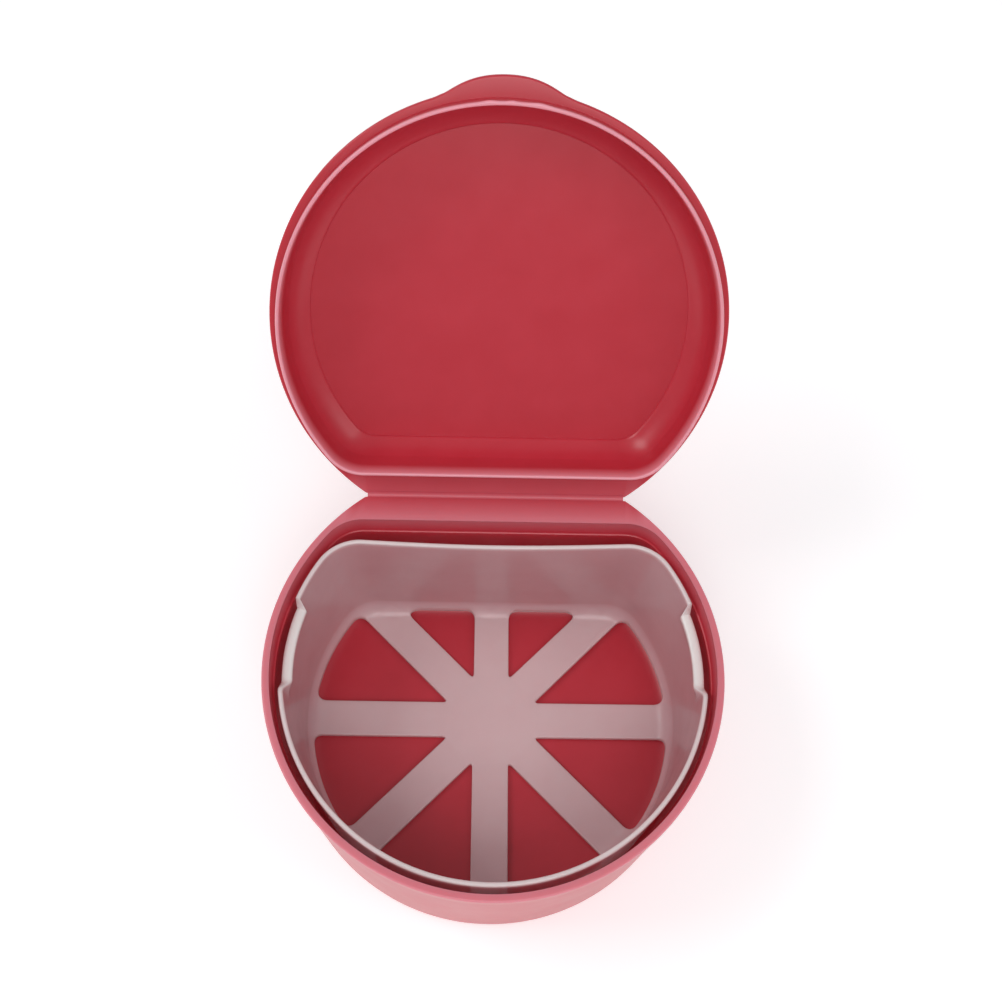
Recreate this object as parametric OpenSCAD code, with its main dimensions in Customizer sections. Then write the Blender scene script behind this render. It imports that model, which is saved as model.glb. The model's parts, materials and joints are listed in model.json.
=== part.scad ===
// Hinged soaking case: a deep D-shaped tub and a shallow lid moulded in one, joined by a living hinge,
// with a lift-out rinsing basket that has an eight-spoke open floor. The lid is drawn folded open.
// X is across the case, +Y is towards the hinge, +Z is up; the origin is the centre of the tub's round
// part, on its flat underside.

/* [Case] */
// Outer radius of the rim
rim_r = 46; // [45:0.5:47]
// Height from the underside to the rim plane
base_h = 41.4; // [38:0.1:46]
// Distance from the bowl's centre to the hinge line
hinge_y = 37; // [36.5:0.1:37.5]
// Width of each hinge leaf, from the hinge line to the flat back wall
leaf_w = 4.3; // [4.1:0.1:4.6]
// Thickness of the hinge leaves and of the rim band
leaf_t = 1.6; // [1.2:0.1:2]
// Wall thickness of the case at the rim
case_wall = 1.5; // [1.4:0.05:1.6]
// Radius of the D's two back corners, outside
corner_r = 10.5; // [10:0.5:12]
// Thickness of the tub's floor
floor_t = 1.6; // [1.4:0.1:1.6]
// Depth of the rebate inside the rim that takes the lid's lip
rebate_d = 4.6; // [4.4:0.1:5.5]

/* [Lid] */
// Angle that the lid is drawn open, in degrees
lid_open = 127.5; // [0:0.5:180]
// Height of the lid's ceiling above the rim plane
lid_rise = 7.4; // [6.5:0.1:9]
// Length of the lip that plugs into the tub
lip_len = 4; // [3:0.1:4.1]
// How far the thumb tab stands out from the lid's flange
tab_out = 2.4; // [1:0.1:4]
// Half the width of the thumb tab
tab_half = 11.5; // [8:0.5:14]

/* [Basket] */
// Outer radius of the basket's rim
basket_r = 43.05; // [42.7:0.05:43.05]
// Height of the basket's floor, top side, above the underside
basket_z = 3.2; // [3.2:0.1:3.7]
// Drop of the basket's rim below the case's rim
basket_drop = 1.4; // [1:0.1:2]
// Thickness of the basket's wall
basket_wall_t = 1; // [0.9:0.05:1.1]
// Thickness of the basket's floor
basket_floor_t = 1.4; // [1.2:0.1:1.4]
// Width of one spoke
spoke_w = 8; // [5:0.5:9]
// Number of spokes
spokes = 8; // [4:4:8]
// Drop of the two finger ledges below the basket's rim
ledge_drop = 2.4; // [1:0.1:4]

/* [Hidden] */
$fn = 48;
arc_n = 56;                    // segments round the large arc of a D
corner_n = 4;                  // segments round one back corner
flat_n = 4;                    // segments along the flat back
wall_slope = tan(2.4);         // draft of the tub's walls
flat_y = hinge_y - leaf_w;     // outer face of the flat back wall, at the rim
band_step = 0.25;              // rim band stands this far proud of the wall below it
floor_fillet = 4.6;            // fillet inside, between the wall and the floor
foot_round = 2.5;              // rounding outside, between the wall and the underside
rebate_draft = 0.1;            // lean of the rebate's wall
shelf_w = 0.5;                 // width of the sloping shelf below the rebate
shelf_drop = 0.3;              // how far that shelf slopes down
part_gap = 0.1;                // gap between rim and flange when the lid is shut
hinge_gap = 0.35;              // each leaf stops this far short of the hinge axis
lip_gap = 0.25;                // gap between the lid's lip and the tub's rebate
lip_t = 1.05;                  // thickness of the lip at its root
lip_tip_t = 0.8;               // thickness of the lip at its tip
lip_lead = 0.1;                // lean of the lip's outer side
lid_draft = 0.3;               // lean of the lid's wall between the flange and the rounding
lid_draft_in = 0.5;            // the same, inside, on the round side
lid_round_in = 3.9;            // rounding between the lid's wall and its ceiling, inside
lid_round_out = 5.2;           // the same, outside
back_share = 0.8;              // share of that rounding taken by the flat back
corner_share = 0.6;            // share of it taken off the corner radius
tab_power = 2.2;               // fullness of the thumb tab's outline
web_r = 0.25;                  // half the thickness of the flexible web
basket_flat_low = 28.2;        // flat back of the basket, outside, at its floor
basket_flat_high = 27.3;       // the same at its rim, where the wall leans inwards
basket_bow = 0.8;              // inward bow of that flat at the rim, at mid width
basket_r_low = basket_r - 1.4; // outer radius of the basket at its floor
basket_corner = 10;            // radius of the basket's back corners, outside
bottom_round = 5;              // rounding outside, between the basket's wall and its floor
inner_round = bottom_round - basket_wall_t;
opening_inset = 1.5;           // the floor's openings end this far inside the outer face
ledge_y = [-6, 13.6];          // where each finger ledge starts and ends
ledge_t = 1.1;                 // extra thickness of the wall at a ledge
ledge_foot = 2.2;              // height below a ledge over which that thickness runs out
rim_top_z = base_h - basket_drop;

// ---- D-shaped outlines: a circle cut by a flat back, with rounded corners ----

// Angle at which the large arc of a D meets its corner arc
function corner_angle(r, y, rc) = asin((y - rc) / (r - rc));

// Outline of a D, counter-clockwise; bow pulls the middle of the flat inwards
function d_outline(r, y, rc, bow = 0) =
    let (a = corner_angle(r, y, rc), xc = (r - rc) * cos(a), yc = y - rc)
    concat(
        [for (i = [0 : arc_n]) let (t = 180 - a + i * (180 + 2 * a) / arc_n) r * [cos(t), sin(t)]],
        [for (i = [1 : corner_n]) let (t = a + i * (90 - a) / corner_n)
            [xc, yc] + rc * [cos(t), sin(t)]],
        [for (i = [1 : flat_n - 1]) [xc * (1 - 2 * i / flat_n), y - bow * sin(180 * i / flat_n)]],
        [for (i = [0 : corner_n - 1]) let (t = 90 + i * (90 - a) / corner_n)
            [-xc, yc] + rc * [cos(t), sin(t)]]
    );

// How far the thumb tab stands out at distance x from the middle of the front
function tab_at(x) = abs(x) < tab_half ? 1 - pow(abs(x) / tab_half, tab_power) : 0;

// Outline of the rim band or flange: the full circle as far as the hinge leaf's straight edge
function leaf_outline(r, tab) =
    let (a = corner_angle(rim_r, flat_y, corner_r), y = hinge_y - hinge_gap, e = asin(y / r))
    concat(
        [for (i = [0 : arc_n])
            let (t = 180 - a + i * (180 + 2 * a) / arc_n,
                 out = sin(t) < 0 ? tab * tab_at(r * cos(t)) : 0)
            (r + out) * [cos(t), sin(t)]],
        [for (i = [1 : corner_n]) let (t = a + i * (e - a) / corner_n) r * [cos(t), sin(t)]],
        [for (i = [1 : flat_n - 1]) [r * cos(e) * (1 - 2 * i / flat_n), y]],
        [for (i = [0 : corner_n - 1]) let (t = 180 - e + i * (e - a) / corner_n) r * [cos(t), sin(t)]]
    );

function at_height(outline, z) = [for (p = outline) [p[0], p[1], z]];

// The case's D, moved inwards by s all round, at height z
function case_ring(s, z) = at_height(d_outline(rim_r - s, flat_y - s, corner_r - s), z);

// A closed solid through a stack of rings; a tube closes on itself instead of taking caps
module ring_solid(rings, tube = false) {
    n = len(rings[0]);
    m = len(rings);
    points = [for (ring = rings) for (p = ring) p];
    sides = [for (k = [0 : tube ? m - 1 : m - 2]) for (i = [0 : n - 1])
        let (k2 = (k + 1) % m, i2 = (i + 1) % n)
        each [[k * n + i, k2 * n + i, k2 * n + i2], [k * n + i, k2 * n + i2, k * n + i2]]];
    caps = tube ? [] : [[for (i = [0 : n - 1]) i], [for (i = [n - 1 : -1 : 0]) (m - 1) * n + i]];
    polyhedron(points, concat(sides, caps), convexity = 6);
}

// ---- Sub-parts ----

// Inset of the tub's outer wall at height z, below the rim band
function tub_inset(z) = band_step + (base_h - leaf_t - z) * wall_slope;

// Deep tub with rim band, hinge leaf and inner rebate
module base_shell() {
    fillet_z = floor_t + floor_fillet;
    color("#bf4254")
        ring_solid(concat(
            [for (a = [0 : 30 : 90])
                case_ring(tub_inset(foot_round) + foot_round * (1 - sin(a)), foot_round * (1 - cos(a)))],
            [case_ring(tub_inset(base_h - leaf_t), base_h - leaf_t),
             at_height(leaf_outline(rim_r, 0), base_h - leaf_t),
             at_height(leaf_outline(rim_r, 0), base_h),
             case_ring(case_wall, base_h),
             case_ring(case_wall + rebate_draft, base_h - rebate_d),
             case_ring(case_wall + shelf_w, base_h - rebate_d - shelf_drop)],
            [for (a = [0 : 22.5 : 90])
                case_ring(tub_inset(fillet_z) + case_wall + floor_fillet * (1 - cos(a)),
                    fillet_z - floor_fillet * sin(a))]
        ));
}

// Thin flexible web on the hinge axis, moulded in one with both leaves
module living_hinge() {
    web_l = 2 * sqrt(rim_r * rim_r - hinge_y * hinge_y);
    color("#d0606f")
        translate([0, hinge_y, base_h - web_r])
            rotate([0, 90, 0])
                cylinder(r = web_r, h = web_l, center = true);
}

// One ring of the lid, given by its radius, flat and corner radius, at height h above the rim plane
function lid_ring(r, y, rc, h) = at_height(d_outline(r, y, rc), h);

// Shallow lid with plug lip, flange, hinge leaf and thumb tab, drawn shut on z = 0
module lid_shut() {
    lip_r = rim_r - case_wall - lip_gap;
    lip_y = flat_y - case_wall - lip_gap;
    lip_corner = corner_r - case_wall;
    in_r = lip_r - lip_t;
    in_y = lip_y - lip_t;
    in_corner = lip_corner - lip_tip_t;
    out_r = in_r + case_wall;
    out_y = in_y + case_wall;
    out_corner = in_corner + case_wall;
    low = lid_rise - lid_round_in;
    side = lid_rise + case_wall - lid_round_out;
    flange = leaf_outline(rim_r - part_gap, tab_out);
    ring_solid(concat(
        [for (a = [90 : -22.5 : 0]) let (s = lid_round_in * (1 - cos(a)))
            lid_ring(in_r - lid_draft_in - s, in_y - lid_draft - back_share * s,
                in_corner - lid_draft - corner_share * s, low + lid_round_in * sin(a))],
        [lid_ring(in_r, in_y, in_corner, part_gap),
         lid_ring(lip_r - lip_tip_t, lip_y - lip_tip_t, in_corner, -lip_len),
         lid_ring(lip_r - lip_lead, lip_y - lip_lead, lip_corner, -lip_len),
         lid_ring(lip_r, lip_y, lip_corner, part_gap),
         at_height(flange, part_gap),
         at_height(flange, leaf_t),
         lid_ring(out_r, out_y, out_corner, leaf_t)],
        [for (a = [0 : 22.5 : 90]) let (s = lid_round_out * (1 - cos(a)))
            lid_ring(out_r - lid_draft - s, out_y - lid_draft - back_share * s,
                out_corner - lid_draft - corner_share * s, side + lid_round_out * sin(a))]
    ));
}

// The lid folded open about the hinge axis
module lid_shell() {
    color("#c34558")
        translate([0, hinge_y, base_h])
            rotate([-lid_open, 0, 0])
                translate([0, -hinge_y, 0])
                    lid_shut();
}

// Outline of the basket, moved inwards by s, at height z
function basket_outline(s, z) =
    let (k = max(0, (z - basket_z) / (rim_top_z - basket_z)),
         r = basket_r_low + (basket_r - basket_r_low) * k,
         y = basket_flat_low + (basket_flat_high - basket_flat_low) * k)
    d_outline(r - s, y - s, basket_corner - s, basket_bow * k * k);

// The same as a ring of points; the bottom corner keeps the floor's outline
function basket_ring(s, z, rounded = false) = at_height(basket_outline(s, rounded ? basket_z : z), z);

// Height of the basket's outer and inner faces above its floor at inset s, inside the bottom corner
function outer_rise(s) =
    bottom_round - sqrt(pow(bottom_round, 2) - pow(bottom_round - s, 2)) - basket_floor_t;
function inner_rise(s) =
    let (t = s - basket_wall_t)
    inner_round - sqrt(pow(inner_round, 2) - pow(inner_round - t, 2));

// Whether a point of the outline lies on a finger ledge
function on_ledge(p) = p[1] > ledge_y[0] && p[1] < ledge_y[1] ? 1 : 0;

// The basket's rim: it drops and thickens at the two ledges
function basket_rim(s, thick) =
    let (outer = basket_outline(0, rim_top_z), edge = basket_outline(s, rim_top_z),
         inner = basket_outline(s + thick, rim_top_z))
    [for (i = [0 : len(outer) - 1])
        let (k = on_ledge(outer[i]), p = edge[i] * (1 - k) + inner[i] * k)
        [p[0], p[1], rim_top_z - ledge_drop * k]];

// D-shaped wall of the basket down to the openings, with a finger ledge in the rim on either side
module basket_wall() {
    under_ledge = rim_top_z - ledge_drop - ledge_foot;
    color("#ddc6c8")
        ring_solid(concat(
            [for (k = [3 : -1 : 0]) let (s = opening_inset * k * k / 9)
                basket_ring(s, basket_z + outer_rise(s), true)],
            [basket_ring(0, under_ledge),
             basket_rim(0, 0),
             basket_rim(basket_wall_t, ledge_t),
             basket_ring(basket_wall_t, under_ledge),
             basket_ring(basket_wall_t, basket_z + inner_round),
             basket_ring(opening_inset, basket_z + inner_rise(opening_inset), true)]
        ), tube = true);
}

// Spoked floor of the basket: bars that cross at a hub and turn up the wall's inner corner
module basket_spokes() {
    corner = [for (k = [0 : 4]) opening_inset + k * (bottom_round - opening_inset) / 4];
    color("#c9b0b5")
        intersection() {
            ring_solid(concat(
                [for (k = [4 : -1 : 0]) basket_ring(corner[k], basket_z + outer_rise(corner[k]), true)],
                [for (k = [0 : 4]) basket_ring(corner[k], basket_z + inner_rise(corner[k]), true)]
            ));
            for (i = [0 : spokes / 2 - 1])
                rotate([0, 0, i * 360 / spokes])
                    translate([0, 0, basket_z])
                        cube([2 * rim_r, spoke_w, 4 * inner_round], center = true);
        }
}

base_shell();
living_hinge();
lid_shell();
basket_wall();
basket_spokes();
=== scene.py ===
import json
import math

import bmesh
import bpy
import numpy as np
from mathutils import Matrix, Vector, geometry


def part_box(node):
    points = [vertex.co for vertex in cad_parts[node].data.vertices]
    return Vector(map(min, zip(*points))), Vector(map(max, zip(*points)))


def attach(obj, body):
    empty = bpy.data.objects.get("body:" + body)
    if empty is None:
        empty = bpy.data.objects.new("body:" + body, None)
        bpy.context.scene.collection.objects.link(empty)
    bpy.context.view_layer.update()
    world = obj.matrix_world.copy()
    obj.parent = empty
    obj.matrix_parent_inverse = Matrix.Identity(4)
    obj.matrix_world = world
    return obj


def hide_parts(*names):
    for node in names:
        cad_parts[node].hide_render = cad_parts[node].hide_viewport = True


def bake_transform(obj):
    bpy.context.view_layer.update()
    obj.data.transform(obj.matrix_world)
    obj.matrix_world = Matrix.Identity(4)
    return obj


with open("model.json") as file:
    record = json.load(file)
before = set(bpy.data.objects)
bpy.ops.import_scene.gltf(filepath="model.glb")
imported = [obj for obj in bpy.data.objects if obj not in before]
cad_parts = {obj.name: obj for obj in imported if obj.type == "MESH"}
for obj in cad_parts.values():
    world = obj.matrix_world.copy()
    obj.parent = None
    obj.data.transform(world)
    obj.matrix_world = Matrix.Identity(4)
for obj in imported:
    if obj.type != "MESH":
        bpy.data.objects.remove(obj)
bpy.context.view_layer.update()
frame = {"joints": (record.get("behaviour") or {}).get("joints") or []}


# ---- Camera ----
# A standard lens held close over the front of the case and looking down into it, turned and
# rolled by about a degree. Places are in metres, in the row frame.
camera = bpy.data.objects.new("camera", bpy.data.cameras.new("camera"))
bpy.context.scene.collection.objects.link(camera)
camera.data.lens = 43.76
camera.data.sensor_width = 36.0
camera.data.clip_start = 0.02
camera.location = (-0.00393, -0.08223, 0.27146)
camera.rotation_mode = "ZYX"
camera.rotation_euler = (math.radians(27.216), math.radians(-1.125), math.radians(0.996))
bpy.context.scene.camera = camera


# ---- Floor and studio light ----
# A plain white table under a pale room, with a large soft box overhead to the left, a weaker
# one to the right and one high in front that reaches into the tub.
def linear(hex_colour):
    """Linear RGBA of an sRGB hex colour: the sRGB curve undone channel by channel."""
    channels = [int(hex_colour[i : i + 2], 16) / 255 for i in (1, 3, 5)]
    curve = [c / 12.92 if c <= 0.04045 else ((c + 0.055) / 1.055) ** 2.4 for c in channels]
    return (*curve, 1.0)


def add_node(tree, kind, sockets=None, **settings):
    """Adds one shader node, sets its properties, and sets or links each named input socket."""
    new = tree.nodes.new(kind)
    for name, value in settings.items():
        setattr(new, name, value)
    for name, value in (sockets or {}).items():
        if isinstance(value, bpy.types.NodeSocket):
            tree.links.new(value, new.inputs[name])
        else:
            new.inputs[name].default_value = value
    return new


def new_material(name):
    """An empty node material, and the tree to build it in."""
    material = bpy.data.materials.new(name)
    material.use_nodes = True
    material.node_tree.nodes.clear()
    return material, material.node_tree


def finish_material(tree, shader):
    """Links a shader to the material's output."""
    add_node(tree, "ShaderNodeOutputMaterial", {"Surface": shader.outputs[0]})


def new_mesh_object(name, vertices, faces, material):
    """A smooth-shaded object at the origin; edges sharper than 40 degrees stay sharp."""
    mesh = bpy.data.meshes.new(name)
    mesh.from_pydata(vertices.tolist(), [], faces)
    mesh.materials.append(material)
    made = bpy.data.objects.new(name, mesh)
    bpy.context.scene.collection.objects.link(made)
    mesh.shade_smooth()
    mesh.set_sharp_from_angle(angle=math.radians(40))
    return made


def add_soft_box(name, place, aim, size, power):
    """A square area light at place that faces the point aim."""
    light = bpy.data.lights.new(name, "AREA")
    light.shape = "SQUARE"
    light.size = size
    light.energy = power
    made = bpy.data.objects.new(name, light)
    bpy.context.scene.collection.objects.link(made)
    heading = np.array(place) - np.array(aim)
    flat = math.hypot(heading[0], heading[1])
    made.location = place
    made.rotation_euler = (math.atan2(flat, heading[2]), 0, math.atan2(heading[0], -heading[1]))


TABLE_HALF = 1.5
table_paint, table_tree = new_material("white_table")
table_shader = add_node(
    table_tree,
    "ShaderNodeBsdfPrincipled",
    {
        "Base Color": linear("#fafafa"),
        "Roughness": 0.8,
        "Specular IOR Level": 0.1,
        "Emission Color": linear("#ffffff"),
        "Emission Strength": 0.3,
    },
)
finish_material(table_tree, table_shader)
table_corners = TABLE_HALF * np.array([[-1, -1, 0], [1, -1, 0], [1, 1, 0], [-1, 1, 0]])
table = new_mesh_object("table", table_corners, [(0, 1, 2, 3)], table_paint)

room = bpy.data.worlds.new("pale_room")
bpy.context.scene.world = room
room.use_nodes = True
room.node_tree.nodes["Background"].inputs["Color"].default_value = linear("#fbfbff")
room.node_tree.nodes["Background"].inputs["Strength"].default_value = 0.41
bpy.context.scene.view_settings.view_transform = "Standard"

OBJECT_MIDDLE = (0, 0.03, 0.05)
add_soft_box("left_box", (-0.75, 0.1, 0.9), OBJECT_MIDDLE, 0.5, 3.3)
add_soft_box("right_box", (0.8, -0.2, 0.8), OBJECT_MIDDLE, 0.5, 1.5)
add_soft_box("front_box", (0.03, -0.55, 0.85), OBJECT_MIDDLE, 0.45, 2.8)


# ---- Tub ----
# The lower half of the one-piece case: injection-moulded polypropylene, 1.5 mm thick, with a
# rim band, a rebate inside it for the lid's lip, and a flat leaf at the back for the hinge.
# Sizes are in millimetres from here on, and turned to metres when a mesh is made.
MM = 0.001
hinge = next(j for j in frame["joints"] if j["name"] == "lid_hinge")
HINGE_Y = hinge["pos_m"][1] / MM
RIM_Z = hinge["pos_m"][2] / MM
LID_OPEN = -math.radians(hinge["range_deg"][0])
RIM_R = 46.0
LEAF_W, LEAF_T = 4.3, 1.6
FLAT_Y = HINGE_Y - LEAF_W
CORNER_R = 10.5
REBATE_D = 4.6
WALL = 1.5
WALL_SLOPE = math.tan(math.radians(2.4))
HINGE_GAP = 0.35
ARC_STEPS, CORNER_STEPS, FLAT_STEPS = 288, 14, 24


def corner_angle(radius, flat, corner):
    """Angle at which a D's round front meets its corner arc."""
    return math.asin((flat - corner) / (radius - corner))


def d_outline(radius, flat, corner, bow=0.0):
    """A D, anticlockwise, as (n, 2) points: a circle of the given radius, cut by a straight back
    at y = flat, joined by corner arcs that touch both. bow draws the back in as a half sine."""
    a = corner_angle(radius, flat, corner)
    centre = (radius - corner) * np.array([math.cos(a), math.sin(a)])
    front = np.linspace(math.pi - a, 2 * math.pi + a, ARC_STEPS + 1)
    turn = np.linspace(a, math.pi / 2, CORNER_STEPS + 1)[1:]
    along = np.linspace(0, 1, FLAT_STEPS + 1)[1:-1]
    right = centre + corner * np.column_stack([np.cos(turn), np.sin(turn)])
    back = np.column_stack([centre[0] * (1 - 2 * along), flat - bow * np.sin(np.pi * along)])
    left = right[::-1] * [-1, 1]
    return np.vstack([radius * np.column_stack([np.cos(front), np.sin(front)]), right, back, left])


def leaf_outline(radius, edge, tab=None):
    """A rim band that runs on into a hinge leaf: the full circle, cut straight at y = edge.
    Point for point it matches d_outline. tab gives how far the front stands out at each x."""
    a = corner_angle(RIM_R, FLAT_Y, CORNER_R)
    neck = math.asin(edge / radius)
    front = np.linspace(math.pi - a, 2 * math.pi + a, ARC_STEPS + 1)
    turn = np.linspace(a, neck, CORNER_STEPS + 1)[1:]
    along = np.linspace(0, 1, FLAT_STEPS + 1)[1:-1]
    reach = np.full(len(front), radius)
    if tab is not None:
        reach += np.where(np.sin(front) < 0, tab(radius * np.cos(front)), 0)
    round_front = reach[:, None] * np.column_stack([np.cos(front), np.sin(front)])
    right = radius * np.column_stack([np.cos(turn), np.sin(turn)])
    back = np.column_stack([right[-1, 0] * (1 - 2 * along), np.full(len(along), edge)])
    return np.vstack([round_front, right, back, right[::-1] * [-1, 1]])


def at_height(outline, z):
    """(n, 3) points of an outline at height z, which is one number or one for each point."""
    return np.column_stack([outline, np.broadcast_to(z, len(outline))])


def quarter(steps, start=0.0, end=90.0):
    """Sine and cosine of evenly spaced angles, for rounding an edge."""
    angles = np.radians(np.linspace(start, end, steps + 1))
    return list(zip(np.sin(angles), np.cos(angles)))


def shrunk(ring, *shares):
    """Copies of a ring drawn towards the Z axis, x and y times share, each at its own height."""
    return [ring * [s, s, 0] + [0, 0, z] for s, z in shares]


def skin(rings):
    """Closed skin through a stack of equal rings: quads between rings, a fan over each end."""
    n, m = len(rings[0]), len(rings)
    ends = np.array([rings[0].mean(0), rings[-1].mean(0)])
    vertices = np.vstack([*rings, ends])
    i = np.arange(n)
    j = (i + 1) % n
    k = n * np.arange(m - 1)[:, None]
    quads = np.stack([k + i, k + j, k + n + j, k + n + i], -1).reshape(-1, 4).tolist()
    last = n * (m - 1)
    low_fan = np.column_stack([np.full(n, n * m), j, i]).tolist()
    high_fan = np.column_stack([np.full(n, n * m + 1), last + i, last + j]).tolist()
    return vertices, quads + low_fan + high_fan


def tub_inset(z):
    """Inset of the tub's drafted outer wall from the rim band, at height z."""
    return 0.25 + (RIM_Z - LEAF_T - z) * WALL_SLOPE


def case_ring(inset, z):
    """The case's D outline drawn inwards by inset, at height z."""
    return at_height(d_outline(RIM_R - inset, FLAT_Y - inset, CORNER_R - inset), z)


def leaf_ring(radius, edge, z, tab=None):
    """The rim band with its hinge leaf, at height z."""
    return at_height(leaf_outline(radius, edge, tab), z)


def thinned(radius, edge, thin, full, tab=None):
    """The rim band's outer ring: its height goes in a straight line from full to thin over the
    last 1.6 mm before the hinge line, so that the leaf thins there."""
    outline = leaf_outline(radius, edge, tab)
    share = np.clip((outline[:, 1] - (edge - 1.6)) / 1.4, 0, 1)
    return at_height(outline, full + (thin - full) * share)


FOOT_ROUND, FLOOR_T, FLOOR_FILLET = 2.5, 1.6, 4.6
EDGE = 0.45
LEAF_EDGE = HINGE_Y - HINGE_GAP
fillet_z = FLOOR_T + FLOOR_FILLET
foot = case_ring(tub_inset(FOOT_ROUND) + FOOT_ROUND, 0.0)
inner_floor = case_ring(tub_inset(fillet_z) + WALL + FLOOR_FILLET, FLOOR_T)
tub_rings = shrunk(foot, *[(share, 0.0) for share in (0.02, 0.3, 0.6, 0.9, 0.99)])
tub_rings += [
    case_ring(tub_inset(FOOT_ROUND) + FOOT_ROUND * (1 - s), FOOT_ROUND * (1 - c))
    for s, c in quarter(8)
]
tub_rings += [case_ring(tub_inset(z), z) for z in np.linspace(4, RIM_Z - LEAF_T - 0.2, 12)]
tub_rings += [
    case_ring(0.12, RIM_Z - LEAF_T),
    thinned(RIM_R - 0.3, LEAF_EDGE - 0.2, RIM_Z - 0.6, RIM_Z - LEAF_T),
    thinned(RIM_R - 0.08, LEAF_EDGE, RIM_Z - 0.55, RIM_Z - LEAF_T + 0.08),
    thinned(RIM_R, LEAF_EDGE, RIM_Z - 0.5, RIM_Z - LEAF_T + 0.3),
]
tub_rings += [
    leaf_ring(RIM_R - EDGE * (1 - c), LEAF_EDGE - 0.1 * (1 - c), RIM_Z - EDGE * (1 - s))
    for s, c in quarter(6)
]
tub_rings += [case_ring(WALL - EDGE * c, RIM_Z - EDGE * (1 - s)) for s, c in quarter(6)[::-1]]
tub_rings += [
    case_ring(WALL + 0.1, RIM_Z - REBATE_D),
    case_ring(WALL + 0.2, RIM_Z - REBATE_D - 0.12),
    case_ring(WALL + 0.45, RIM_Z - REBATE_D - 0.26),
    case_ring(WALL + 0.52, RIM_Z - REBATE_D - 0.5),
]
tub_rings += [case_ring(tub_inset(z) + WALL, z) for z in np.linspace(RIM_Z - 7, fillet_z + 0.4, 10)]
tub_rings += [
    case_ring(tub_inset(fillet_z) + WALL + FLOOR_FILLET * (1 - c), fillet_z - FLOOR_FILLET * s)
    for s, c in quarter(12)
]
tub_rings += shrunk(inner_floor, *[(share, FLOOR_T) for share in (0.97, 0.6, 0.2, 0.02)])

# Red-pink polypropylene, moulded against polished steel: a smooth semi-gloss skin (roughness
# about 0.3, IOR 1.49) that lets a little light in, with cloudy pigment 9 mm across, shallow
# sink waves 14 mm long and a fine grain of 0.35 mm, drawn a little coarse so that it shows.
PIGMENT_CLOUD, GRAIN, SINK_WAVE = 9.0, 0.35, 14.0


def polypropylene(name, deep, pale, whitening_and_highlight_colour):
    """Pigmented polypropylene. deep and pale are the ends of its cloudiness; the last colour shows
    where
    the vertex whitening attribute is 1: painted highlight along the tub's rim and the lid's lip,
    partly painted sheen on the lid's leaf, and real whitening on the bent hinge."""
    material, tree = new_material(name)
    place = add_node(tree, "ShaderNodeTexCoord").outputs["Object"]
    cloud = add_node(
        tree,
        "ShaderNodeTexNoise",
        {"Vector": place, "Scale": 1 / (PIGMENT_CLOUD * MM), "Detail": 4.0, "Roughness": 0.6},
    )
    body = add_node(tree, "ShaderNodeMix", data_type="RGBA")
    tree.links.new(cloud.outputs["Fac"], body.inputs[0])
    body.inputs[6].default_value = linear(deep)
    body.inputs[7].default_value = linear(pale)
    whitening_and_highlight = add_node(tree, "ShaderNodeAttribute", attribute_name="whitening_and_highlight")
    # The pale colour is mixed in by the vertex whitening attribute: painted highlight on edges, real
    # whitening on the hinge.
    whitening_and_highlight_mix = add_node(tree, "ShaderNodeMix", data_type="RGBA")
    tree.links.new(whitening_and_highlight.outputs["Fac"], whitening_and_highlight_mix.inputs[0])
    tree.links.new(body.outputs[2], whitening_and_highlight_mix.inputs[6])
    whitening_and_highlight_mix.inputs[7].default_value = linear(whitening_and_highlight_colour)
    grain = add_node(
        tree,
        "ShaderNodeTexNoise",
        {"Vector": place, "Scale": 1 / (GRAIN * MM), "Detail": 2.0},
    )
    gloss = add_node(
        tree,
        "ShaderNodeMapRange",
        {"Value": cloud.outputs["Fac"], "To Min": 0.26, "To Max": 0.36},
    )
    sink = add_node(
        tree,
        "ShaderNodeTexNoise",
        {"Vector": place, "Scale": 1 / (SINK_WAVE * MM), "Detail": 1.0},
    )
    wave = add_node(
        tree,
        "ShaderNodeBump",
        {"Height": sink.outputs["Fac"], "Strength": 0.25, "Distance": 0.3 * MM},
    )
    skin_bump = add_node(
        tree,
        "ShaderNodeBump",
        {
            "Height": grain.outputs["Fac"],
            "Strength": 0.12,
            "Distance": 0.02 * MM,
            "Normal": wave.outputs["Normal"],
        },
    )
    shader = add_node(
        tree,
        "ShaderNodeBsdfPrincipled",
        {
            "Base Color": whitening_and_highlight_mix.outputs[2],
            "Roughness": gloss.outputs["Result"],
            "IOR": 1.49,
            "Subsurface Weight": 0.22,
            "Subsurface Scale": 2.0 * MM,
            "Subsurface Radius": (1.0, 0.25, 0.2),
            "Normal": skin_bump.outputs["Normal"],
        },
    )
    finish_material(tree, shader)
    return material


def set_whitening_and_highlight(piece, values):
    """Stores a whitening value from 0 to 1 for each vertex as a point attribute: on rim and lip edges
    it is a painted highlight, elsewhere real whitening.
    """
    layer = piece.data.attributes.new("whitening_and_highlight", "FLOAT", "POINT")
    layer.data.foreach_set("value", np.clip(values, 0, 1).astype(np.float32))


# efa0ac is the pale pink of the painted highlight along the tub's rim and the lid's lip.
red_polypropylene = polypropylene("red_polypropylene", "#bd2b39", "#c73443", "#efa0ac")
tub_vertices, tub_faces = skin(tub_rings)
tub = new_mesh_object("case_tub", tub_vertices * MM, tub_faces, red_polypropylene)
rim_distance = np.abs(tub_vertices[:, 2] - (RIM_Z - 0.2))
tub_leaf = np.clip((tub_vertices[:, 1] - FLAT_Y) / 2, 0, 1)
# Painted highlight: a pale band along the top of the rim, fainter on the hinge leaf.
set_whitening_and_highlight(tub, (0.68 - 0.48 * tub_leaf) * np.exp(-((rim_distance / 0.35) ** 2)))
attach(tub, "base")
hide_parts("base_shell")


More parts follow.
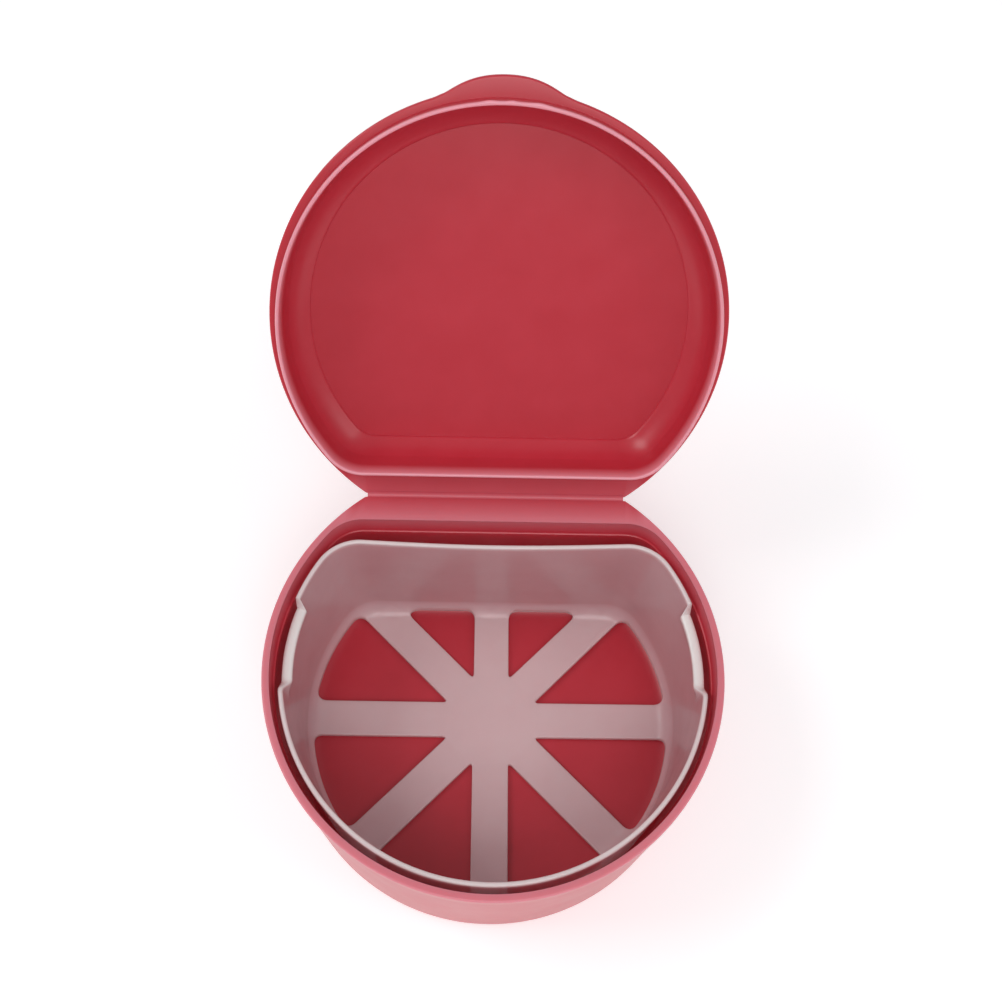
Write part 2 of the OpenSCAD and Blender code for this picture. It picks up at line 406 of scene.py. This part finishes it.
# ---- Lid ----
# The shallow upper half of the case, moulded open with the tub: a thin plug lip round the
# mouth, a flange outside it with the thumb tab and the hinge leaf, and a dished inside.
# It is worked out shut, as height above the rim plane, and then turned open about the hinge.
LIP_LEN, LID_RISE = 4.0, 7.4
TAB_OUT, TAB_HALF = 2.4, 11.5
LIP_R, LIP_Y = RIM_R - WALL - 0.25, FLAT_Y - WALL - 0.25
IN_R, IN_Y = LIP_R - 1.05, LIP_Y - 1.0
ROUND_IN, ROUND_OUT = 3.9, 5.2
SHUT_GAP = 0.1


def tab_at(x):
    """Thumb tab: a flat arc that stands TAB_OUT proud, with short hollow blends at its ends."""
    u = np.abs(x) / TAB_HALF
    blend = np.clip((1.06 - u) / 0.22, 0, 1)
    arc = TAB_OUT * np.clip(1 - u**2.3, 0, 1) * blend * (2 - blend)
    return arc + 0.25 * np.exp(-(((u - 1) / 0.1) ** 2))


def lid_ring(radius, flat, corner, height, extra=None):
    """A D at a height above the rim plane; extra moves the front outwards at each x."""
    outline = d_outline(radius, flat, corner)
    if extra is not None:
        front = outline[:, 1] < 0
        push = np.where(front, extra(outline[:, 0]), 0)
        outline = outline * (1 + push / np.hypot(*outline.T))[:, None]
    return at_height(outline, height)


def catch_nibs(x):
    """Three small moulded nibs on the front of the lip, which click past the tub's rim: a sum
    of bell curves in x, each with its own centre, width and height."""
    centres, widths, heights = (-3.0, 1.2, 6.5), (1.3, 0.8, 1.8), (0.22, 0.18, 0.25)
    return sum(h * np.exp(-(((x - c) / w) ** 2)) for c, w, h in zip(centres, widths, heights))


def opened(rings):
    """Rings worked out shut, turned open by LID_OPEN about the hinge line: a plane rotation of
    each point's distance behind the hinge line and its height above it."""
    turned = []
    for ring in rings:
        back, up = ring[:, 1] - HINGE_Y, ring[:, 2]
        y = HINGE_Y + back * math.cos(LID_OPEN) + up * math.sin(LID_OPEN)
        z = RIM_Z - back * math.sin(LID_OPEN) + up * math.cos(LID_OPEN)
        turned.append(np.column_stack([ring[:, 0], y, z]))
    return turned


def dished_ring(away, height, radius, flat, corner):
    """A ring of a rounded edge: away is how far the round has drawn it inwards."""
    return lid_ring(radius - away, flat - 0.8 * away, corner - 0.6 * away, height)


def inner_band(steps=12):
    """(away, height) up the sloping band between the lid's wall and its ceiling: a shallow arc
    that bulges BAND_SAG from its 45 degree chord, so that it meets the ceiling at an edge."""
    t = np.linspace(0, 1, steps + 1)
    bulge = 4 * BAND_SAG * t * (1 - t) / math.sqrt(2)
    return list(zip(ROUND_IN * t - bulge, LID_RISE - ROUND_IN + ROUND_IN * t + bulge))


BAND_SAG, SUNK = 0.4, 0.25
top = LID_RISE + WALL
side = top - ROUND_OUT
inner_wall = (IN_R - 0.5, IN_Y - 0.3, 8.0)
panel = dished_ring(ROUND_IN + 0.15, LID_RISE, *inner_wall)
lid_rings = shrunk(panel, *[(share, LID_RISE + SUNK) for share in (0.02, 0.3, 0.7, 0.96)])
lid_rings += [
    dished_ring(ROUND_IN + 0.15, LID_RISE + SUNK, *inner_wall),
    dished_ring(ROUND_IN + 0.08, LID_RISE + 0.5 * SUNK, *inner_wall),
]
lid_rings += [dished_ring(away, height, *inner_wall) for away, height in inner_band()[::-1]]
lid_rings += [
    lid_ring(IN_R, IN_Y, 8.2, 0.0),
    lid_ring(LIP_R - 0.86, LIP_Y - 0.86, 8.4, 0.35 - LIP_LEN),
    lid_ring(LIP_R - 0.72, LIP_Y - 0.72, 8.4, 0.08 - LIP_LEN),
    lid_ring(LIP_R - 0.55, LIP_Y - 0.55, 8.5, -LIP_LEN),
    lid_ring(LIP_R - 0.38, LIP_Y - 0.38, 8.6, -LIP_LEN, catch_nibs),
    lid_ring(LIP_R - 0.2, LIP_Y - 0.2, 8.8, 0.12 - LIP_LEN, catch_nibs),
    lid_ring(LIP_R - 0.1, LIP_Y - 0.1, 9.0, 0.4 - LIP_LEN, catch_nibs),
    lid_ring(LIP_R - 0.06, LIP_Y - 0.06, 9.0, 1.3 - LIP_LEN),
    lid_ring(LIP_R, LIP_Y, 9.0, SHUT_GAP - 0.25),
    lid_ring(LIP_R + 0.08, LIP_Y + 0.08, 9.1, SHUT_GAP),
]
FLANGE_R = RIM_R - 0.1
lid_rings += [
    leaf_ring(FLANGE_R - EDGE * (1 - s), LEAF_EDGE - 0.1 * (1 - s), SHUT_GAP + EDGE * (1 - c), tab_at)
    for s, c in quarter(6)
]
lid_rings += [
    thinned(FLANGE_R, LEAF_EDGE, 0.6, LEAF_T - 0.4, tab_at),
    thinned(FLANGE_R - 0.1, LEAF_EDGE, 0.65, LEAF_T - 0.1, tab_at),
    thinned(FLANGE_R - 0.4, LEAF_EDGE - 0.2, 0.7, LEAF_T, tab_at),
    lid_ring(IN_R + WALL + 0.1, IN_Y + WALL + 0.1, 9.7, LEAF_T),
    lid_ring(IN_R + WALL - 0.05, IN_Y + WALL - 0.05, 9.6, LEAF_T + 0.2),
]
lid_rings += [
    dished_ring(ROUND_OUT * (1 - c), side + ROUND_OUT * s, IN_R + WALL - 0.3, IN_Y + WALL - 0.3, 9.4)
    for s, c in quarter(14)
]
lid_rings += shrunk(lid_rings[-1], (0.98, top), (0.6, top), (0.2, top), (0.02, top))
lid_vertices, lid_faces = skin(lid_rings)
lid = new_mesh_object("case_lid", skin(opened(lid_rings))[0] * MM, lid_faces, red_polypropylene)
# Painted highlight: a pale band round the tip of the lip. The leaf is also made a little paler,
# partly whitening from flexing and partly painted sheen.
lip_edge = np.exp(-(((lid_vertices[:, 2] + LIP_LEN - 0.1) / 0.4) ** 2))
lid_leaf = np.clip((lid_vertices[:, 1] - FLAT_Y) / 2, 0, 1)
set_whitening_and_highlight(lid, lip_edge + 0.22 * lid_leaf)
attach(lid, "lid")
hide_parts("lid_shell")


# ---- Living hinge ----
# A web of the same polypropylene, 0.4 mm thick, left between the two leaves by the mould.
# Flexing has whitened it a little. It bends from the tub's leaf to the lid's leaf.
WEB_T, WEB_REACH = 0.4, 0.9
WEB_STEPS, WEB_ACROSS = 60, 12


def web_points(depth):
    """Points at a depth under the leaves' faces: straight along the tub's leaf, round the hinge
    line as an arc of that radius, and straight along the lid's leaf."""
    tub_side = np.array([[-WEB_REACH, -depth], [-0.5 * WEB_REACH, -depth]])
    bend = math.pi - LID_OPEN
    turns = np.linspace(0, bend, WEB_ACROSS + 1)
    around = -depth * np.column_stack([-np.sin(turns), np.cos(turns)])
    direction = np.array([math.cos(bend), math.sin(bend)])
    outward = np.array([math.sin(bend), -math.cos(bend)])
    lid_side = np.array([k * WEB_REACH * direction + depth * outward for k in (0.5, 1.0)])
    return np.vstack([tub_side, around, lid_side]) + [HINGE_Y, RIM_Z]


web_half = math.sqrt(RIM_R**2 - HINGE_Y**2) - 0.15
section = np.vstack([web_points(0.06), web_points(WEB_T)[::-1]])
across = np.linspace(-web_half, web_half, WEB_STEPS + 1)
web_rings = [np.column_stack([np.full(len(section), x), section]) for x in across]
web_vertices, web_faces = skin(web_rings)
web_polypropylene = polypropylene("flexed_polypropylene", "#c43a49", "#ce4453", "#eaa0aa")
web = new_mesh_object("hinge_web", web_vertices * MM, web_faces, web_polypropylene)
fold = np.hypot(web_vertices[:, 1] - HINGE_Y, web_vertices[:, 2] - RIM_Z)
set_whitening_and_highlight(web, 0.5 * np.exp(-((fold / 0.4) ** 2)))
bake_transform(web)
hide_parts("living_hinge")


# ---- Rinsing basket ----
# A separate moulding in natural, unpigmented polypropylene, 1 mm thick. Its back wall has drawn
# in a little, as such walls do in cooling. A finger ledge is dropped into the rim on either side,
# and eight spokes from a hub leave the floor open.
basket_low, basket_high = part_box("basket_spokes")[0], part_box("basket_wall")[1]
BASKET_R = basket_high.x / MM
BASKET_BOTTOM = basket_low.z / MM
BASKET_TOP = basket_high.z / MM
BASKET_FLOOR_T, BASKET_WALL = 1.4, 1.0
BASKET_FLOOR = BASKET_BOTTOM + BASKET_FLOOR_T
BASKET_TAPER, BASKET_CORNER = 1.4, 10.0
BACK_Y, BACK_LEAN, BACK_BOW = 28.2, 0.9, 0.8
SPOKE_W, SPOKES = 8.0, 8
LEDGE_Y, LEDGE_DROP, LEDGE_T, LEDGE_IN = (-6.0, 13.6), 2.4, 1.1, 0.5


def basket_outline(inset, z):
    """The basket's D at height z, drawn inwards by inset. Up to the rim its radius grows evenly
    by BASKET_TAPER, and its back leans in by BACK_LEAN and bows as the height's square."""
    k = np.clip((z - BASKET_FLOOR) / (BASKET_TOP - BASKET_FLOOR), 0, 1)
    radius, flat = BASKET_R - BASKET_TAPER * (1 - k), BACK_Y - BACK_LEAN * k
    return d_outline(radius - inset, flat - inset, BASKET_CORNER - inset, BACK_BOW * k * k)


def ledge_share(outline):
    """1 on a finger ledge and 0 off it: a slope at its front end and a short step at its back."""
    y = outline[:, 1]
    front = np.clip((y - LEDGE_Y[0]) / 3.0, 0, 1)
    back = np.clip((LEDGE_Y[1] - y) / 0.5, 0, 1)
    share = np.minimum(front, back)
    return share * share * (3 - 2 * share)


def rim_ring(inset, drop):
    """A ring near the basket's rim: inset from its outer face, drop below its top. On a ledge
    the whole edge sits lower and further in, and is thicker inwards."""
    share = ledge_share(basket_outline(0, BASKET_TOP))
    inward = inset + LEDGE_IN * share + LEDGE_T * share * (inset / BASKET_WALL)
    outer, inner = basket_outline(0, BASKET_TOP), basket_outline(3.0, BASKET_TOP)
    outline = outer + (inner - outer) * (inward / 3.0)[:, None]
    return at_height(outline, BASKET_TOP - drop - LEDGE_DROP * share)


def basket_ring(inset, z):
    """A plain ring of the basket's wall, or of its bottom edge."""
    return at_height(basket_outline(inset, z), z)


BOTTOM_ROUND, TOP_ROUND = 5.0, 0.45
INNER_ROUND = BOTTOM_ROUND - BASKET_WALL
PLATE_EDGE = 1.45
HUB_REACH, WALL_REACH = 1.4, 2.2


def corner_rings(radius, depth, bottom):
    """Rings up the rounded bottom corner of one face, from the floor plate's edge to the wall.
    At angle a the face is depth + radius (1 - sin a) in from the outer face, and
    radius (1 - cos a) above bottom; the outline passes from the floor's to the wall's."""
    start = math.asin(1 - (PLATE_EDGE - depth) / radius)
    rings = []
    for a in np.linspace(start, math.pi / 2, 9):
        z = bottom + radius * (1 - math.cos(a))
        grown = (a - start) / (math.pi / 2 - start)
        inset = depth + radius * (1 - math.sin(a))
        outline = basket_outline(inset, BASKET_FLOOR + (z - BASKET_FLOOR) * grown)
        rings.append(at_height(outline, z))
    return rings


wall_heights = np.linspace(BASKET_FLOOR + BOTTOM_ROUND, BASKET_TOP - 8, 14)
basket_rings = corner_rings(BOTTOM_ROUND, 0, BASKET_BOTTOM)
basket_rings += [basket_ring(0, z) for z in wall_heights]
basket_rings += [rim_ring(0, 2.6)]
lip_round = [(TOP_ROUND * (1 - c), TOP_ROUND * (1 - s)) for s, c in quarter(5)]
basket_rings += [rim_ring(away, drop) for away, drop in lip_round]
basket_rings += [rim_ring(BASKET_WALL - away, drop) for away, drop in lip_round[::-1]]
basket_rings += [rim_ring(BASKET_WALL, 1.4)]
basket_rings += [basket_ring(BASKET_WALL, z) for z in wall_heights[::-1]]
basket_rings += corner_rings(INNER_ROUND, BASKET_WALL, BASKET_FLOOR)[::-1]


def cut_corner(before, corner, after, reach, steps=8):
    """A corner rounded off as a quadratic curve that starts reach before it and ends reach after."""
    start = corner + reach * (before - corner) / np.linalg.norm(before - corner)
    end = corner + reach * (after - corner) / np.linalg.norm(after - corner)
    t = np.linspace(0, 1, steps + 1)[:, None]
    return (1 - t) ** 2 * start + 2 * t * (1 - t) * corner + t**2 * end


def opening_loop(sector, wall):
    """One opening of the floor, anticlockwise: out along one spoke's edge, round the wall, and
    back along the next spoke's edge, with its three corners rounded."""
    step = 2 * math.pi / SPOKES
    edges = []
    for number, shift in ((sector, 1), (sector + 1, -1)):
        along = np.array([math.cos(number * step), math.sin(number * step)])
        normal = np.array([-along[1], along[0]])
        edges.append((along, normal, shift * SPOKE_W / 2))
    (a_dir, a_normal, a_off), (b_dir, b_normal, b_off) = edges
    hub = np.linalg.solve(np.array([a_normal, b_normal]), np.array([a_off, b_off]))
    inside = (wall @ a_normal > a_off) & (wall @ b_normal < b_off)
    inside &= wall @ (a_dir + b_dir) > 0
    first = np.flatnonzero(inside & ~np.roll(inside, 1))[0]
    arc = np.roll(wall, -first, axis=0)[: inside.sum()]
    start = a_off * a_normal + a_dir * (arc[0] @ a_dir)
    end = b_off * b_normal + b_dir * (arc[-1] @ b_dir)
    far = np.linalg.norm(arc - start, axis=1) > WALL_REACH
    far &= np.linalg.norm(arc - end, axis=1) > WALL_REACH
    middle = arc[far]
    return np.vstack(
        [
            cut_corner(end, hub, start, HUB_REACH),
            cut_corner(hub, start, middle[0], WALL_REACH),
            middle,
            cut_corner(middle[-1], end, hub, WALL_REACH),
        ]
    )


def widened(loop, distance):
    """A loop moved away from the opening's middle by distance, along its own normals."""
    ahead = np.roll(loop, -1, axis=0) - np.roll(loop, 1, axis=0)
    normal = np.column_stack([ahead[:, 1], -ahead[:, 0]])
    return loop + distance * normal / np.linalg.norm(normal, axis=1)[:, None]


def bridge(rings, offset):
    """Quads between successive rings of equal length, numbered from offset."""
    n = len(rings[0])
    i = np.arange(n)
    j = (i + 1) % n
    k = offset + n * np.arange(len(rings) - 1)[:, None]
    return np.stack([k + i, k + j, k + n + j, k + n + i], -1).reshape(-1, 4).tolist()


def floor_inset(points):
    """How far each (x, y) point lies inside the floor's D: R - |p| in front of the corners,
    corner radius - |p - corner centre| round them, and flat - y along the back."""
    radius, flat, corner = BASKET_R - BASKET_TAPER, BACK_Y, BASKET_CORNER
    a = corner_angle(radius, flat, corner)
    centre = (radius - corner) * np.array([math.cos(a), math.sin(a)])
    x, y = np.abs(points[:, 0]), points[:, 1]
    in_front = radius - np.hypot(x, y)
    round_corner = corner - np.hypot(x - centre[0], y - centre[1])
    behind = np.where(x > centre[0], round_corner, flat - y)
    return np.where(np.arctan2(y, x) <= a, in_front, behind)


def top_height(points):
    """The floor's upper face: flat, and turned up as a quarter circle near the wall."""
    away = np.clip(INNER_ROUND + BASKET_WALL - floor_inset(points), 0, INNER_ROUND)
    return BASKET_FLOOR + INNER_ROUND - np.sqrt(INNER_ROUND**2 - away**2)


def bottom_height(points):
    """The floor's lower face, turned up in the same way with the outer radius."""
    away = np.clip(BOTTOM_ROUND - floor_inset(points), 0, BOTTOM_ROUND)
    return BASKET_BOTTOM + BOTTOM_ROUND - np.sqrt(BOTTOM_ROUND**2 - away**2)


def is_inside(points, loop):
    """Even-odd test: whether a ray from each point towards +X crosses the loop an odd number
    of times."""
    ahead = np.roll(loop, -1, axis=0)
    x, y = points[:, :1], points[:, 1:]
    spans = (loop[:, 1] > y) != (ahead[:, 1] > y)
    rise = np.where(loop[:, 1] == ahead[:, 1], 1.0, ahead[:, 1] - loop[:, 1])
    crossing = loop[:, 0] + (y - loop[:, 1]) * (ahead[:, 0] - loop[:, 0]) / rise
    return np.sum(spans & (x < crossing), axis=1) % 2 == 1


def plate(outer, holes, height):
    """A face between an outer loop and several holes, as points and triangles: a constrained
    Delaunay mesh, with extra points up the turned-up edge and the holes taken out again."""
    insets = (2.0, 2.6, 3.3, 4.1, 5.0)
    turned = np.vstack([basket_outline(inset, BASKET_FLOOR)[::2] for inset in insets])
    near = np.any([is_inside(turned, widened(hole, 0.25)) for hole in holes], axis=0)
    points, edges = np.vstack([outer, *holes, turned[~near]]), []
    first = 0
    for loop in (outer, *holes):
        edges += [(first + i, first + (i + 1) % len(loop)) for i in range(len(loop))]
        first += len(loop)
    made = geometry.delaunay_2d_cdt([Vector(p) for p in points], edges, [], 0, 1e-5)
    flat, triangles = np.array([tuple(v) for v in made[0]]), np.array(made[2])
    middles = flat[triangles].mean(1)
    keep = is_inside(middles, outer)
    keep &= ~np.any([is_inside(middles, hole) for hole in holes], axis=0)
    return at_height(flat, height(flat)), triangles[keep].tolist()


SPOKE_EDGE, UNDER_EDGE = 0.3, 0.15
floor_wall = basket_outline(PLATE_EDGE + SPOKE_EDGE + 0.1, BASKET_FLOOR)
loops = [opening_loop(sector, floor_wall) for sector in range(SPOKES)]
parts = [(np.vstack(basket_rings), bridge(basket_rings, 0))]
for loop in loops:
    upper = [widened(loop, SPOKE_EDGE * (1 - s)) for s, c in quarter(4)]
    drops = [SPOKE_EDGE * (1 - c) for s, c in quarter(4)]
    hole_rings = [at_height(ring, top_height(ring) - drop) for ring, drop in zip(upper, drops)]
    lower = [widened(loop, UNDER_EDGE * (1 - c)) for s, c in quarter(2)]
    lifts = [UNDER_EDGE * (1 - s) for s, c in quarter(2)]
    hole_rings += [at_height(ring, bottom_height(ring) + lift) for ring, lift in zip(lower, lifts)]
    parts.append((np.vstack(hole_rings), bridge(hole_rings, 0)))
plate_edge = basket_outline(PLATE_EDGE, BASKET_FLOOR)
parts.append(plate(plate_edge, [widened(p, SPOKE_EDGE) for p in loops], top_height))
parts.append(plate(plate_edge, [widened(p, UNDER_EDGE) for p in loops], bottom_height))

basket_vertices = np.vstack([points for points, _ in parts])
basket_faces, offset = [], 0
for points, faces in parts:
    basket_faces += [[index + offset for index in face] for face in faces]
    offset += len(points)

# Natural polypropylene: milky, so light scatters inside it and the red tub glows through,
# while a part passes straight. Its milk colours are tinted pink, a painted red glow from the
# tub. It is milkier where it is thicker: in the floor, along the rim and most of all on the
# finger ledges. Polished walls (roughness about 0.2, IOR 1.49) mirror the spokes at a low
# angle. Cloudiness is drawn 7 mm across.
MILK_CLOUD = 7.0
natural_polypropylene, milk_tree = new_material("natural_polypropylene")
milk_place = add_node(milk_tree, "ShaderNodeTexCoord").outputs["Object"]
milk_cloud = add_node(
    milk_tree,
    "ShaderNodeTexNoise",
    {"Vector": milk_place, "Scale": 1 / (MILK_CLOUD * MM), "Detail": 3.0},
)
milk_and_red_glow = add_node(milk_tree, "ShaderNodeMix", data_type="RGBA")
milk_tree.links.new(milk_cloud.outputs["Fac"], milk_and_red_glow.inputs[0])
# Painted red glow: both colours are pink to stand for the tub's red light in the clear plastic.
milk_and_red_glow.inputs[6].default_value = linear("#f0c9ce")
milk_and_red_glow.inputs[7].default_value = linear("#f8d8db")
thickness = add_node(milk_tree, "ShaderNodeAttribute", attribute_name="whitening_and_highlight")
whiter = add_node(milk_tree, "ShaderNodeMix", data_type="RGBA")
milk_tree.links.new(thickness.outputs["Fac"], whiter.inputs[0])
milk_tree.links.new(milk_and_red_glow.outputs[2], whiter.inputs[6])
whiter.inputs[7].default_value = linear("#fbf4f0")
density = add_node(
    milk_tree,
    "ShaderNodeMapRange",
    {"Value": thickness.outputs["Fac"], "To Min": 0.5, "To Max": 0.9},
)
milk_gloss = add_node(
    milk_tree,
    "ShaderNodeMapRange",
    {"Value": milk_cloud.outputs["Fac"], "To Min": 0.16, "To Max": 0.24},
)
milk_wave = add_node(
    milk_tree,
    "ShaderNodeBump",
    {"Height": milk_cloud.outputs["Fac"], "Strength": 0.2, "Distance": 0.2 * MM},
)
milk_shader = add_node(
    milk_tree,
    "ShaderNodeBsdfPrincipled",
    {
        "Base Color": whiter.outputs[2],
        "Roughness": milk_gloss.outputs["Result"],
        "IOR": 1.49,
        "Alpha": density.outputs["Result"],
        "Subsurface Weight": 0.6,
        "Subsurface Scale": 1.5 * MM,
        "Subsurface Radius": (1.0, 0.9, 0.9),
        "Normal": milk_wave.outputs["Normal"],
    },
)
finish_material(milk_tree, milk_shader)

basket = new_mesh_object("rinsing_basket", basket_vertices * MM, basket_faces, natural_polypropylene)
welded = bmesh.new()
welded.from_mesh(basket.data)
bmesh.ops.remove_doubles(welded, verts=welded.verts, dist=0.005 * MM)
bmesh.ops.recalc_face_normals(welded, faces=welded.faces)
welded.to_mesh(basket.data)
welded.free()
basket.data.shade_smooth()
basket.data.set_sharp_from_angle(angle=math.radians(40))
places = np.empty(3 * len(basket.data.vertices))
basket.data.vertices.foreach_get("co", places)
places = places.reshape(-1, 3) / MM
on_ledge = ledge_share(places) * (np.abs(places[:, 0]) > 30)
edge_z = BASKET_TOP - LEDGE_DROP * on_ledge
near_edge = np.exp(-(((places[:, 2] - edge_z) / (0.5 + 1.2 * on_ledge)) ** 2))
in_floor = np.clip(1 - (places[:, 2] - BASKET_FLOOR) / 1.5, 0, 1)
set_whitening_and_highlight(basket, np.maximum(0.25 * in_floor, near_edge * (0.7 + 0.3 * on_ledge)))
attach(basket, "basket")
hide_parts("basket_wall", "basket_spokes")
